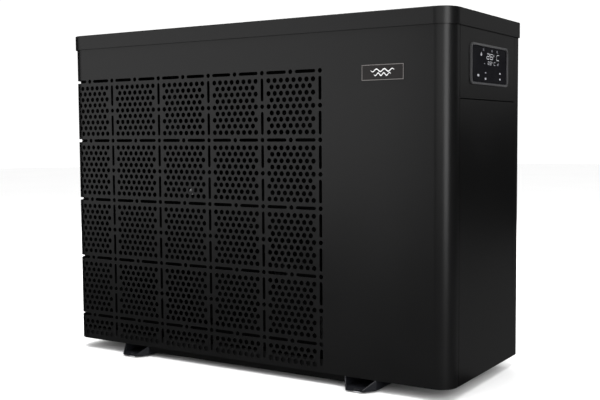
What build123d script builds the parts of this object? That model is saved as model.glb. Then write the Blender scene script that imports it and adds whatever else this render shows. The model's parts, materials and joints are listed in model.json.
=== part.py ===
from build123d import *
import math
import os

os.makedirs("parts", exist_ok=True)

# Side-discharge pool heat pump. Millimetres, +Z up, the front faces -Y and the display side faces +X.
# The origin is the centre of the footprint, on the floor.

# ---- driving dimensions ----
body_width = 844.0
body_depth = 310.0
body_height = 624.0
foot_height = 20.0
toe_reach = 22.0
union_reach = 51.0
corner_radius = 30.0
rear_corner_radius = 4.0
sheet = 1.2
gap = 0.5

lid_overhang = 3.0
lid_skirt = 28.0
wall_drop = 3.0
display_seam_drop = 147.0
corner_return = 36.0
fold_depth = 11.0
panel_seam = 1.6
rear_post_width = 22.0

cell_width = 122.0
cell_height = 120.0
front_cells = 5
side_cells = 2
grille_right_margin = 244.0
grille_top_drop = 93.5
cell_rows = 4
slot_width = 6.0
slot_start = 9.0
dot_diameter = 8.4

foot_spacing = 512.0
foot_width = 62.0
toe_width = 34.0
foot_plate = 1.5
pad_height = 3.0
anchor_slot = (9.0, 16.0)
anchor_inset = 12.0

fan_radius = 250.0
fan_clearance = 16.0
hub_radius = 48.0
hub_half_length = 32.0
shaft_radius = 6.0
running_clearance = 0.05
blade_count = 5
motor_offset = 38.0
motor_length = 74.0
motor_radius = 62.0
ring_length = 60.0
shroud_setback = 14.0

cable_radius = 5.0
pipe_bore_radius = 25.2
water_way_radius = 23.0
port_height_low = 96.0
port_height_high = 392.0

# ---- places that follow from them ----
left = -body_width / 2
right = body_width / 2
front = -(toe_reach + body_depth + union_reach) / 2 + toe_reach
back = front + body_depth
base = foot_height
top = base + body_height
lid_low = top - lid_skirt
wall_top = top - wall_drop
seam = top - display_seam_drop
grille_right = right - grille_right_margin
grille_top = top - grille_top_drop
flat_run = grille_right - (left + corner_radius)
corner_run = math.pi / 2 * corner_radius
floor_top = base + sheet
above_pan = floor_top + 26.0
partition_x = grille_right - 8.0
fan_x = (left + grille_right) / 2
fan_y = front + 66.0
fan_z = (base + top) / 2
port_x = right - 77.0


def save(name, shape):
    export_step(shape, f"parts/{name}.step")


def block(x, y, z):
    """A box from its limits: x, y and z are each (low, high)."""
    size = [high - low for low, high in (x, y, z)]
    centre = [(high + low) / 2 for low, high in (x, y, z)]
    return Pos(*centre) * Box(*size)


def rod(radius, start, end):
    """A round bar between two points on one axis."""
    plane = Plane(origin=start, z_dir=Vector(*end) - Vector(*start))
    length = (Vector(*end) - Vector(*start)).length
    return extrude(plane * Circle(radius), length)


def pipe(points, bend, radius, bore):
    """A tube of straight runs joined by bends of one radius."""
    path = FilletPolyline(*points, radius=bend)
    section = Circle(radius) - Circle(bore)
    return sweep(Plane(origin=path @ 0, z_dir=path % 0) * section, path=path)


def rounded_plate(width, depth, height, radius):
    """A plate with round vertical corners, standing on z = 0."""
    return extrude(RectangleRounded(width, depth, radius), height)


def casing_plate(grow, low, high):
    """A plate with the casing's plan, grown by an amount: large round corners in front, small ones behind."""
    width, depth = body_width + 2 * grow, body_depth + 2 * grow
    plan = Pos(0, (front + back) / 2) * Rectangle(width, depth)
    corners = plan.vertices().group_by(Axis.Y)
    plan = fillet(corners[0], corner_radius + grow)
    rear_radius = max(rear_corner_radius - lid_overhang + grow, 0.6)
    plan = fillet(plan.vertices().group_by(Axis.Y)[-1], rear_radius)
    return Pos(0, 0, low) * extrude(plan, high - low)


def hexagon(across, length, start, axis):
    """A hexagon bar whose axis starts at a point."""
    outline = RegularPolygon(across / 2, 6, major_radius=False)
    return extrude(Plane(origin=start, z_dir=axis) * outline, length)


# ---- the dashed lines of the grille ----
# A mark is (run, height, kind), with the run measured along the sheet from the grille's right edge.
# The fine round holes between the lines are left out here: the sheet is solid between its slots and dots.


def line_marks(cells, edges):
    """The dashed lines between cells: a dot at each crossing and half way, and a slot on each side of it.

    On the round corner the level slot is longer, and there is no upright line.
    """
    marks = []
    for line in range(cell_rows + 1):
        height = grille_top - line * cell_height
        for column in cells:
            for half in range(2):
                run = (column + half / 2) * cell_width
                if run + cell_width / 2 == front_cells * cell_width:
                    marks.append((corner_end - corner_length / 2, height, "corner"))
                else:
                    marks.append((run + cell_width / 4, height, "level"))
                if half:
                    marks.append((run, height, "dot"))
    for column in edges:
        run = column * cell_width
        for line in range(cell_rows + 1):
            height = grille_top - line * cell_height
            marks.append((run, height, "dot"))
            marks.append((run, height - cell_height / 4, "upright" if line < cell_rows else "last"))
            if line < cell_rows:
                marks.append((run, height - cell_height / 2, "dot"))
                marks.append((run, height - 3 * cell_height / 4, "upright"))
    return marks


level_length = cell_width / 2 - 2 * slot_start
upright_length = cell_height / 2 - 2 * slot_start
last_length = 30.0
corner_length = 55.0
corner_end = front_cells * cell_width + 3.0
last_shift = (upright_length - last_length) / 2
outlines = {
    "last": Pos(0, last_shift) * Rot(0, 0, 90) * SlotOverall(last_length, slot_width),
    "dot": Circle(dot_diameter / 2),
    "level": SlotOverall(level_length, slot_width),
    "upright": Rot(0, 0, 90) * SlotOverall(upright_length, slot_width),
}


def slotted_sheet(plane, width, low, high, marks):
    """A flat sheet, its outline from 0 to width and low to high, with one opening at each mark."""
    rim = plane * Pos(width / 2, (low + high) / 2) * Rectangle(width, high - low)
    openings = [
        (plane * Pos(run, height) * outlines[kind]).face().outer_wire() for run, height, kind in marks
    ]
    return Solid.extrude(Face(rim.face().outer_wire(), openings), plane.z_dir * sheet)


def corner_cutters(marks):
    """Cutters for the openings on the round left corner, about the corner's own vertical axis."""
    axis = Vector(left + corner_radius, front + corner_radius, 0)
    cutters = []
    for run, height, kind in marks:
        turn = -90 - math.degrees((run - flat_run) / corner_radius)
        place = Pos(axis.X, axis.Y, height) * Rot(0, 0, turn) * Pos(corner_radius, 0, 0)
        if kind == "corner":
            sweep_angle = math.degrees((corner_end - flat_run) / corner_radius)
            first = -90 - sweep_angle
            wedge = Cylinder(corner_radius + sheet, slot_width, arc_size=sweep_angle)
            cutters.append(Pos(axis.X, axis.Y, height) * Rot(0, 0, first) * wedge)
        elif kind in ("upright", "last"):
            slot = Plane.YZ * outlines[kind]
            cutters.append(place * extrude(slot, 4 * sheet, both=True))
        else:
            cutters.append(place * Rot(0, 90, 0) * Cylinder(dot_diameter / 2, 8 * sheet))
    return cutters


def round_corner(x, turn, cutters):
    """A quarter of a tube, the bend between the front and a side."""
    ring = Circle(corner_radius) - Circle(corner_radius - sheet)
    quarter = ring & Pos(corner_radius, corner_radius) * Rectangle(2 * corner_radius, 2 * corner_radius)
    wall = Pos(x, front + corner_radius, base) * Rot(0, 0, turn) * extrude(quarter, wall_top - base)
    return wall.solid().cut(*cutters) if cutters else wall.solid()


# ---- casing ----


def make_front_panel():
    marks = line_marks(range(front_cells), range(front_cells))
    reach = {"level": level_length / 2, "corner": corner_length / 2}
    flat_marks = [m for m in marks if m[0] + reach.get(m[2], slot_width) < flat_run]
    bend_marks = [m for m in marks if m not in flat_marks]
    # the flat is drawn from its right end, with the run growing towards the left
    right_flat = right - corner_radius
    offset = right_flat - grille_right
    shifted = [(run + offset, height, kind) for run, height, kind in flat_marks]
    plane = Plane(origin=(right_flat, front, 0), x_dir=(-1, 0, 0), z_dir=(0, 1, 0))
    flat = slotted_sheet(plane, body_width - 2 * corner_radius, base, wall_top, shifted)
    seam_y = front + corner_radius
    fold = block((left + gap, left + fold_depth), (seam_y - sheet, seam_y), (above_pan, wall_top))
    left_bend = round_corner(left + corner_radius, 180, corner_cutters(bend_marks)).fuse(fold.solid()).solid()
    right_bend = round_corner(right_flat, 270, [])
    lip = block((right - sheet, right), (front + corner_radius, front + corner_return), (base, wall_top))
    return flat.fuse(left_bend, right_bend, lip.solid(), glue=True).solid()


def make_left_side_panel():
    cells = range(front_cells, front_cells + side_cells)
    lead = flat_run + corner_run + gap
    marks = line_marks(cells, [front_cells + 1, front_cells + 2])
    marks = [(run - lead, height, kind) for run, height, kind in marks]
    start = front + corner_radius + gap
    plane = Plane(origin=(left, start, 0), x_dir=(0, 1, 0), z_dir=(1, 0, 0))
    flat = slotted_sheet(plane, back - start, base, wall_top, marks)
    rear_lip = block((left, left + rear_post_width), (back - sheet, back), (base, wall_top))
    return flat.fuse(rear_lip.solid()).solid()


def folded_panel(y, z):
    """A right side panel: a flat face with its four edges folded in."""
    depth = 12.0
    return block((right - depth, right), y, z) - block(
        (right - depth - 1, right - sheet), (y[0] + sheet, y[1] - sheet), (z[0] + sheet, z[1] - sheet)
    )


def make_service_panel():
    """The lower panel; its foot is flat so that it laps over the pan's rim."""
    lap = block((right - 13, right - sheet), (side_y[0] - 1, side_y[1] + 1), (base - 1, base + 26))
    return folded_panel(side_y, (base, seam - panel_seam / 2)) - lap


side_y = (front + corner_return + panel_seam, back - rear_post_width - gap)
display_size = (171.0, 69.0)
display_corner = 9.0
display_rim = 3.6
display_y = front + 164.0
display_z = top - 87.0


def display_prism(grow, low, high):
    """A rounded block with the display's outline grown by an amount, between two X places."""
    radius = max(display_corner + grow, 2.0)
    outline = RectangleRounded(display_size[0] + 2 * grow, display_size[1] + 2 * grow, radius)
    plane = Plane(origin=(low, display_y, display_z), x_dir=(0, 1, 0), z_dir=(1, 0, 0))
    return extrude(plane * outline, high - low)


def make_display():
    rim = display_rim
    collar = display_prism(0, right, right + 2.8) + display_prism(-2.0, right - 14.0, right)
    collar -= display_prism(-rim, right - 16.0, right + 4.0)
    glass = display_prism(-rim - 0.3, right - 3.0, right + 0.6)
    board = display_prism(-rim - 4.0, right - 8.6, right - 7.0)
    for column in (-60, -20, 20, 60):
        board += Pos(right - 5.0, display_y + column, display_z) * Box(4.0, 8.0, 12.0)
    return collar, glass, board


def make_top_cover():
    shell = casing_plate(lid_overhang, lid_low, top)
    shell = fillet(shell.edges().group_by(Axis.Z)[-1], 1.5)
    return shell - casing_plate(lid_overhang - sheet, lid_low - 1, top - sheet)


def make_base_pan():
    inset = sheet + 0.6
    rim = 24.0
    tray = casing_plate(-inset, base, base + rim) - casing_plate(-inset - sheet, floor_top, base + rim + 1)
    # front and back skirts hang between the feet
    half = (foot_spacing - foot_width) / 2 - 1.0
    drop = 10.0
    for y in (front + inset, back - inset - sheet):
        tray += block((-half, half), (y, y + sheet), (base - drop, floor_top))
    drain = Pos(fan_x, back - 90.0, base) * Cylinder(7.5, 6 * sheet)
    return tray - drain


def make_foot(x):
    """A channel with tapered tongues at both ends; its floor takes the anchor slots."""
    tip_front = front - toe_reach
    tip_back = back + toe_reach
    half = foot_width / 2
    tip = toe_width / 2
    plan = Polygon(
        (-tip, tip_front), (tip, tip_front), (half, front), (half, back),
        (tip, tip_back), (-tip, tip_back), (-half, back), (-half, front), align=None,
    )
    low = pad_height
    side = Polygon(
        (tip_front, low), (tip_back, low), (tip_back, low + 3.0), (back, base),
        (front, base), (tip_front, low + 3.0), align=None,
    )
    solid = extrude(plan, base) & extrude(Plane.YZ * side, foot_width, both=True)
    hollow = Pos(0, 0, low + foot_plate) * extrude(offset(plan, -foot_plate, kind=Kind.INTERSECTION), base)
    open_ends = Pos(0, 0, low + foot_plate) * extrude(
        Pos(0, (front + back) / 2) * Rectangle(toe_width - 2 * foot_plate, body_depth + 4 * toe_reach), base
    )
    foot = solid - hollow - open_ends
    slot = extrude(SlotOverall(anchor_slot[1], anchor_slot[0]), 3 * foot_plate, both=True)
    for y in (front - anchor_inset, back + anchor_inset):
        foot -= Pos(0, y, low) * slot
    return Pos(x, 0, 0) * foot


def make_foot_pads():
    pads = []
    for x in (-foot_spacing / 2, foot_spacing / 2):
        for y in (front + 34.0, back - 34.0):
            pads.append(Pos(x, y, 0) * rounded_plate(48.0, 44.0, pad_height, 4.0))
    return Compound(children=pads)


def make_rear_corner_panel():
    """The back of the machine bay, folded round to the narrow strip behind the side panels."""
    back_face = block((partition_x + gap, right), (back - sheet, back), (base, wall_top))
    strip = block((right - sheet, right), (back - rear_post_width, back), (base, wall_top))
    panel = back_face + strip
    for z in (port_height_low, port_height_high):
        panel -= rod(port_hole_radius, (port_x, back - 5, z), (port_x, back + 5, z))
    for z in gland_heights:
        panel -= rod(gland_hole_radius, (gland_x, back - 5, z), (gland_x, back + 5, z))
    for row in range(5):
        louvre = Pos(partition_x + 72.0, back, 300.0 + 18.0 * row) * Box(70.0, 10.0, 6.0)
        panel -= louvre
    return panel


gland_x = partition_x + 70.0
gland_heights = (506.0, 540.0)
gland_hole_radius = 8.2
port_hole_radius = 35.0


guard_pitch = 37.0
guard_cells = 15
wire_radius = 1.5
guard_half = guard_cells * guard_pitch / 2 + 2.0


def guard_places():
    """How far each wire stands from the middle of the guard."""
    return [(index - guard_cells / 2) * guard_pitch for index in range(guard_cells + 1)]


def make_coil_guard():
    """Round wires in two layers over the coil: the upright ones lie on the back, the level ones on them."""
    middle = (left + partition_x) / 2
    wires = []
    for place in guard_places():
        y = back + wire_radius
        x = middle + place
        wires.append(rod(wire_radius, (x, y, fan_z - guard_half), (x, y, fan_z + guard_half)))
    for place in guard_places():
        y = back + 3 * wire_radius
        z = fan_z + place
        wires.append(rod(wire_radius, (middle - guard_half, y, z), (middle + guard_half, y, z)))
    return Compound(children=wires)


def make_guard_clips():
    """Blocks that hold the outer upright wires to the back, between two level wires."""
    middle = (left + partition_x) / 2
    reach = guard_cells * guard_pitch / 2
    clips = []
    for x in (middle - reach, middle + reach):
        groove = block((x - wire_radius, x + wire_radius), (back - 1, back + 2 * wire_radius), (base, top))
        for z in (fan_z - 6 * guard_pitch, fan_z, fan_z + 6 * guard_pitch):
            clips.append(block((x - 9, x + 9), (back, back + 4.5), (z - 7, z + 7)) - groove)
    return Compound(children=clips)


def make_rear_frame():
    """The flat frame round the coil that closes the back between the lid and the pan."""
    half = guard_half - 14.0
    middle = (left + partition_x) / 2
    frame = block((left + rear_post_width + gap, partition_x), (back - sheet, back), (base, wall_top))
    return frame - block((middle - half, middle + half), (back - 5, back + 5), (fan_z - half, fan_z + half))


# ---- air side ----

coil_thickness = 38.0
coil_low = floor_top + 4.0
coil_high = top - 36.0
coil_back = back - 8.0
coil_left = left + 8.0
coil_right = partition_x - 26.0
coil_leg_end = front + 100.0


def coil_outline():
    """The coil's plan: a leg along the back and one along the left side, joined by a bend."""
    bend = 60.0
    path = FilletPolyline(
        (coil_right, coil_back - coil_thickness / 2),
        (coil_left + coil_thickness / 2, coil_back - coil_thickness / 2),
        (coil_left + coil_thickness / 2, coil_leg_end),
        radius=bend,
    )
    return path


def make_coil_fins():
    path = coil_outline()
    plane = Plane(origin=path @ 0, z_dir=path % 0, x_dir=(0, 1, 0))
    section = plane * Rectangle(coil_thickness, coil_high - coil_low)
    return Pos(0, 0, (coil_high + coil_low) / 2) * sweep(section, path=path)


def make_coil_end_plates():
    low, high = coil_low - 2.0, coil_high + 2.0
    y = (coil_back - coil_thickness - 1.0, coil_back + 1.0)
    x = (coil_left - 1.0, coil_left + coil_thickness + 1.0)
    return Compound(children=[
        block((coil_right, coil_right + sheet), y, (low, high)),
        block(x, (coil_leg_end - sheet, coil_leg_end), (low, high)),
    ])


def make_return_bends():
    """Copper U-bends that join the coil's tubes outside its right end plate."""
    bends = []
    count = 13
    pitch = (coil_high - coil_low) / (2 * count)
    face = coil_right + sheet
    for index in range(count):
        for row in (-1, 1):
            z = coil_low + pitch * (2 * index + 1)
            y = coil_back - coil_thickness / 2 + row * 9.5
            points = [(face, y, z - pitch / 2), (face + 14.0, y, z - pitch / 2),
                      (face + 14.0, y, z + pitch / 2), (face, y, z + pitch / 2)]
            bends.append(pipe(points, 9.0, 3.5, 2.9))
    return Compound(children=bends)


ring_radius = fan_radius + fan_clearance


def make_fan_shroud():
    """A plate behind the front sheet with a ring round the fan, and a flange back to the coil's end."""
    plate_y = front + shroud_setback
    plate = block((left + 12, partition_x - 1), (plate_y, plate_y + sheet), (above_pan, top - 26))
    plate -= rod(ring_radius, (fan_x, plate_y - 5, fan_z), (fan_x, plate_y + 5, fan_z))
    outside = rod(ring_radius + 1.5, (fan_x, plate_y, fan_z), (fan_x, plate_y + ring_length, fan_z))
    inside = rod(ring_radius, (fan_x, plate_y - 1, fan_z), (fan_x, plate_y + ring_length + 1, fan_z))
    edge = left + 12
    flange = block((edge, edge + sheet), (plate_y, coil_leg_end - sheet - gap), (above_pan, top - 26))
    return plate + (outside - inside) + flange


def make_fan_wheel():
    """A cupped hub with a boss on the shaft, and the blades round it."""
    half = hub_half_length
    hub = rod(hub_radius, (fan_x, fan_y - half, fan_z), (fan_x, fan_y + half, fan_z))
    hub -= rod(hub_radius - 4, (fan_x, fan_y - half + 6, fan_z), (fan_x, fan_y + half + 8, fan_z))
    hub += rod(14, (fan_x, fan_y - half + 2, fan_z), (fan_x, fan_y + half - 2, fan_z))
    hub -= rod(shaft_radius, (fan_x, fan_y - 60, fan_z), (fan_x, fan_y + 60, fan_z))
    wheel = hub
    for index in range(blade_count):
        wheel += Pos(fan_x, fan_y, fan_z) * Rot(0, index * 360 / blade_count, 0) * one_blade()
    return wheel


def one_blade():
    """A twisted blade: three flat sections, wider and flatter towards the tip."""
    sections = []
    stations = [(hub_radius - 2, 96, 38), (150, 150, 28), (fan_radius - 3, 188, 19)]
    for distance, chord, pitch in stations:
        angle = math.radians(pitch)
        chord_way = (0, math.sin(angle), math.cos(angle))
        plane = Plane(origin=(distance, 0, 0), x_dir=chord_way, z_dir=(1, 0, 0))
        sections.append(plane * RectangleRounded(chord, 3.0, 1.2))
    tip = rod(fan_radius, (0, -80, 0), (0, 80, 0))
    return loft(sections) & tip


def make_motor():
    start = fan_y + motor_offset
    can = rod(motor_radius, (fan_x, start, fan_z), (fan_x, start + motor_length, fan_z))
    can = fillet(can.edges().filter_by(GeomType.CIRCLE), 6)
    can += rod(20, (fan_x, start - 5, fan_z), (fan_x, start + 2, fan_z))
    can -= rod(shaft_radius + running_clearance, (fan_x, start - 10, fan_z), (fan_x, start + 62, fan_z))
    return can


def make_motor_bracket():
    """Two upright rails with a cross plate that the motor is bolted to."""
    rear = fan_y + motor_offset + motor_length
    rails = []
    for side in (-1, 1):
        x = fan_x + side * 52
        rail = block((x - 14, x + 14), (rear + sheet, rear + 20), (floor_top, top - 24))
        rail -= block((x - 14 + sheet, x + 14 - sheet), (rear, rear + 18), (base, top))
        rails.append(rail)
    plate = block((fan_x - 80, fan_x + 80), (rear, rear + sheet), (fan_z - 80, fan_z + 80))
    return rails[0] + rails[1] + plate


def make_shaft():
    return rod(shaft_radius, (fan_x, fan_y - 50, fan_z), (fan_x, fan_y + 98, fan_z))


def make_fan_nut():
    start = (fan_x, fan_y - hub_half_length, fan_z)
    nut = hexagon(20, 10, start, (0, -1, 0))
    return nut - rod(shaft_radius, (fan_x, fan_y - 60, fan_z), (fan_x, fan_y, fan_z))


def make_partition():
    plate = block((partition_x, partition_x + sheet), (front + 3, back - 3), (floor_top, top - 6))
    foot = block((partition_x, partition_x + 10), (front + 30, back - 30), (floor_top, floor_top + sheet))
    window_y = (sink_y[0] + 3, sink_y[1] - 3)
    window_z = (sink_z[0] + 3, sink_z[1] - 3)
    window = block((partition_x - 5, partition_x + 5), window_y, window_z)
    return plate + foot - window


# ---- machine bay ----

box_x = (partition_x + 8, right - 20)
box_y = (front + 46, back - 74)
box_z = (seam - 18, top - 22)
sink_y = (-60.0, 50.0)
sink_z = (seam + 4, top - 44)


def make_heat_sink():
    fins = block((partition_x - 6, partition_x), sink_y, sink_z)
    foot_y = (sink_y[0] + 4, sink_y[1] - 4)
    foot_z = (sink_z[0] + 4, sink_z[1] - 4)
    fins += block((partition_x, box_x[0]), foot_y, foot_z)
    count = 12
    for index in range(count):
        y = sink_y[0] + 2 + index * (sink_y[1] - sink_y[0] - 4) / (count - 1)
        fins += block((partition_x - 42, partition_x - 5), (y - 1, y + 1), sink_z)
    return fins


def make_electrics_box():
    box = block(box_x, box_y, box_z)
    inside = block((box_x[0] + 2, box_x[1] - 2), (box_y[0] + 2, box_y[1] - 2), (box_z[0] + 2, box_z[1] + 5))
    return box - inside


def make_electrics_cover():
    return block(box_x, box_y, (box_z[1] + 0.2, box_z[1] + 2.2))


def make_inverter_board():
    floor = box_z[0] + 2
    board = block((box_x[0] + 10, box_x[1] - 30), (box_y[0] + 10, box_y[1] - 10), (floor + 8, floor + 9.6))
    for x, y, radius, height in ((-50, -40, 15, 38), (-12, -40, 15, 38), (-50, 30, 11, 28)):
        place = ((box_x[0] + box_x[1]) / 2 + x, (box_y[0] + box_y[1]) / 2 + y)
        board += rod(radius, (*place, floor + 9), (*place, floor + 9 + height))
    centre_x = (box_x[0] + box_x[1]) / 2 + 10
    centre_y = (box_y[0] + box_y[1]) / 2 + 30
    board += block((centre_x, centre_x + 40), (centre_y - 20, centre_y + 20), (floor + 9, floor + 30))
    for x in (box_x[0] + 20, box_x[1] - 40):
        for y in (box_y[0] + 20, box_y[1] - 20):
            board += rod(3, (x, y, floor), (x, y, floor + 8.5))
    return board


def make_terminal_block():
    """A six-way screw terminal strip on the back wall of the electrics box."""
    y = box_y[1]
    strip = block((gland_x - 36, gland_x + 36), (y, y + 22), (seam - 10, seam + 16))
    for index in range(6):
        x = gland_x - 30 + index * 12
        strip -= block((x - 4.5, x + 4.5), (y + 10, y + 30), (seam - 6, seam + 12))
        strip += rod(3.2, (x, y + 9, seam + 3), (x, y + 14, seam + 3))
    return strip


def make_glands():
    glands = []
    for z in gland_heights:
        body = rod(8.0, (gland_x, back - 14, z), (gland_x, back + 8, z))
        body += hexagon(22, 6, (gland_x, back, z), (0, 1, 0))
        body += hexagon(22, 5, (gland_x, back - sheet - 5, z), (0, 1, 0))
        body += hexagon(19, 14, (gland_x, back + 6, z), (0, 1, 0))
        body -= rod(cable_radius, (gland_x, back - 30, z), (gland_x, back + 30, z))
        glands.append(body)
    return Compound(children=glands)


comp_x = partition_x + 88.0
comp_y = front + 214.0
comp_radius = 56.0
comp_low = floor_top + 22.0
comp_high = 330.0
acc_x = comp_x - 30.0
acc_y = front + 104.0
acc_radius = 30.0
acc_high = floor_top + 224.0
hx_x = port_x
hx_y = front + 80.0
hx_radius = 66.0
hx_low = floor_top + 18.0
hx_high = 440.0
valve_z = 404.0
valve_radius = 13.0
expansion_x = partition_x + 22.0
expansion_top = 332.0


def make_compressor():
    shell = rod(comp_radius, (comp_x, comp_y, comp_low + 6), (comp_x, comp_y, comp_high))
    shell = fillet(shell.edges().filter_by(GeomType.CIRCLE), 22)
    shell += rod(9, (comp_x + 30, comp_y, comp_high - 12), (comp_x + 30, comp_y, comp_high + 8))
    return shell


def comp_feet():
    return [(comp_x + 72 * math.cos(a), comp_y + 72 * math.sin(a)) for a in map(math.radians, (90, 210, 330))]


def make_compressor_base():
    """A three-cornered foot plate under the compressor."""
    lobes = [(Pos(x, y) * Circle(13)).edge() for x, y in comp_feet()]
    plate = Pos(0, 0, comp_low) * extrude(make_hull(lobes), 4)
    for x, y in comp_feet():
        plate -= rod(7, (x, y, comp_low - 5), (x, y, comp_low + 9))
    return plate


def make_grommets():
    grommets = []
    for x, y in comp_feet():
        lower = rod(12, (x, y, floor_top), (x, y, comp_low))
        neck = rod(6.8, (x, y, comp_low), (x, y, comp_low + 4))
        upper = rod(10, (x, y, comp_low + 4), (x, y, comp_low + 9))
        grommets.append(lower + neck + upper - rod(4.1, (x, y, base - 5), (x, y, comp_low + 20)))
    return Compound(children=grommets)


def make_mount_bolts():
    bolts = []
    for x, y in comp_feet():
        stud = rod(4, (x, y, floor_top), (x, y, comp_low + 16))
        stud += hexagon(13, 6, (x, y, comp_low + 9), (0, 0, 1))
        bolts.append(stud)
    return Compound(children=bolts)


def make_terminal_cap():
    return block((comp_x - 46, comp_x - 6), (comp_y - 18, comp_y + 18), (comp_high, comp_high + 22))


def make_accumulator():
    tank = rod(acc_radius, (acc_x, acc_y, floor_top + 34), (acc_x, acc_y, acc_high))
    return fillet(tank.edges().filter_by(GeomType.CIRCLE), 16)


def make_accumulator_strap():
    low = floor_top + 110
    high = low + 22
    band = rod(acc_radius + sheet, (acc_x, acc_y, low), (acc_x, acc_y, high))
    band -= rod(acc_radius, (acc_x, acc_y, 0), (acc_x, acc_y, top))
    ear = block((partition_x + sheet, acc_x - acc_radius - 0.4), (acc_y - 12, acc_y + 12), (low, high))
    return band + ear


def make_heat_exchanger():
    """The water vessel: a plastic barrel with end caps, and two side ports towards the back."""
    barrel = rod(hx_radius - 5, (hx_x, hx_y, hx_low), (hx_x, hx_y, hx_high))
    for z in (hx_low, hx_high - 46):
        cap = rod(hx_radius, (hx_x, hx_y, z), (hx_x, hx_y, z + 46))
        barrel += fillet(cap.edges().filter_by(GeomType.CIRCLE), 7)
    for z in (port_height_low, port_height_high):
        barrel += rod(32.0, (hx_x, hx_y, z), (hx_x, hx_y + hx_radius + 12, z))
    return barrel


def make_water_pipe(z):
    """A straight stub from the vessel to the thread outside the back panel."""
    start = hx_y + hx_radius + 12
    stub = rod(29.0, (port_x, start, z), (port_x, back + 2, z))
    stub += rod(32.6, (port_x, back + 2, z), (port_x, back + 20, z))
    stub += rod(40.0, (port_x, back + 0.2, z), (port_x, back + 3.2, z))
    return stub - rod(water_way_radius, (port_x, start - 1, z), (port_x, back + 30, z))


def make_tailpiece(z):
    """The loose end of the union: a flange behind the nut's lip and a socket for the pool pipe."""
    flange = rod(31.6, (port_x, back + 20, z), (port_x, back + 25, z))
    socket = rod(28.6, (port_x, back + 20, z), (port_x, back + union_reach, z))
    return flange + socket - rod(pipe_bore_radius, (port_x, back + 10, z), (port_x, back + 60, z))


def make_union_nut(z):
    """A ribbed ring nut that turns freely round the union."""
    start, end = back + 4.2, back + 31.0
    nut = rod(38.5, (port_x, start, z), (port_x, end, z))
    for index in range(12):
        place = Pos(port_x, (start + end) / 2, z) * Rot(0, 30 * index, 0) * Pos(38.5, 0, 0)
        nut += place * Box(5, end - start, 7)
    nut -= rod(33.0, (port_x, start - 1, z), (port_x, back + 25.6, z))
    return nut - rod(29.0, (port_x, start, z), (port_x, end + 1, z))


def make_four_way_valve():
    z = valve_z
    body = rod(valve_radius, (comp_x - 42, comp_y, z), (comp_x + 46, comp_y, z))
    body = fillet(body.edges().filter_by(GeomType.CIRCLE), 5)
    pilot = rod(6, (comp_x - 26, comp_y, z + 22), (comp_x + 26, comp_y, z + 22))
    for x in (-22, 22):
        pilot += rod(2, (comp_x + x, comp_y, z + 8), (comp_x + x, comp_y, z + 20))
    return body + pilot


def make_pipes():
    """Copper refrigerant lines, one solid each, butted against the pieces they join."""
    valve_low = valve_z - valve_radius
    over = hx_high + 20
    copper = {}
    copper["discharge_pipe"] = pipe(
        [(comp_x + 30, comp_y, comp_high + 8), (comp_x + 30, comp_y, comp_high + 34),
         (comp_x, comp_y, comp_high + 34), (comp_x, comp_y, valve_low)], 12, 6, 5)
    copper["suction_pipe"] = pipe(
        [(acc_x, comp_y, valve_low), (acc_x, comp_y, valve_z - 44), (acc_x, acc_y, valve_z - 44),
         (acc_x, acc_y, acc_high)], 16, 8, 7)
    copper["liquid_pipe"] = pipe(
        [(hx_x - 30, hx_y, hx_high), (hx_x - 30, hx_y, over), (expansion_x, hx_y, over),
         (expansion_x, hx_y, expansion_top)], 14, 5, 4)
    return copper


def make_expansion_valve():
    x, y, middle = expansion_x, hx_y, expansion_top - 30
    body = rod(9, (x, y, middle), (x, y, expansion_top))
    coil = block((x - 13, x + 13), (y - 16, y + 16), (middle - 30, middle))
    return body + coil


def make_flow_switch():
    z = port_height_high
    y = back - 60
    stem = rod(9, (port_x, y, z + 29.0), (port_x, y, z + 44))
    return stem + block((port_x - 14, port_x + 14), (y - 12, y + 12), (z + 44, z + 66))


def make_choke():
    """The line reactor: a winding in a laminated core, on the partition."""
    x = partition_x + sheet
    y = front + 8
    z = 60
    core = block((x, x + 40), (y, y + 12), (z, z + 60)) + block((x, x + 40), (y + 48, y + 60), (z, z + 60))
    core += block((x, x + 40), (y, y + 60), (z, z + 12)) + block((x, x + 40), (y, y + 60), (z + 48, z + 60))
    winding = block((x + 2, x + 50), (y + 12, y + 48), (z + 12, z + 48))
    return core + winding


def make_nameplate():
    plate = RectangleRounded(78.0, 26.0, 2.0)
    centre = (grille_right + cell_width, front, grille_top - 8.0)
    return extrude(Plane(origin=centre, x_dir=(1, 0, 0), z_dir=(0, -1, 0)) * plate, 0.8)


def make_drain_nipple():
    x, y = fan_x, back - 90.0
    nipple = rod(7.4, (x, y, 4.0), (x, y, floor_top + 1.5))
    nipple += rod(12, (x, y, floor_top), (x, y, floor_top + 1.5))
    nipple += rod(11, (x, y, base - 2.5), (x, y, base))
    return nipple - rod(5.2, (x, y, 0), (x, y, base + 10))


def screw(point, way):
    """A pan-head screw with a cross recess; its head stands on the sheet."""
    head = Plane(origin=point, z_dir=way)
    shape = extrude(head * Circle(4.2), 2.2)
    for size in ((4.6, 1.0), (1.0, 4.6)):
        shape -= extrude(Plane(origin=Vector(*point) + Vector(*way) * 1.0, z_dir=way) * Rectangle(*size), 2)
    return shape


def make_casing_screws():
    screws = []
    for z in (base + 12, 230, 440, lid_low - 14):
        for x in (left + rear_post_width - 10, partition_x + 10, right - 12):
            screws.append(screw((x, back, z), (0, 1, 0)))
    for x in (-300, -100, 100, 300):
        screws.append(screw((x, back + lid_overhang, lid_low + 12), (0, 1, 0)))
    return Compound(children=screws)


# ---- write every sub-part ----

bezel, glass, display_board = make_display()
upper_panel = folded_panel(side_y, (seam + panel_seam / 2, wall_top))
upper_panel -= display_prism(-1.8, right - 20, right + 5)

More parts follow.
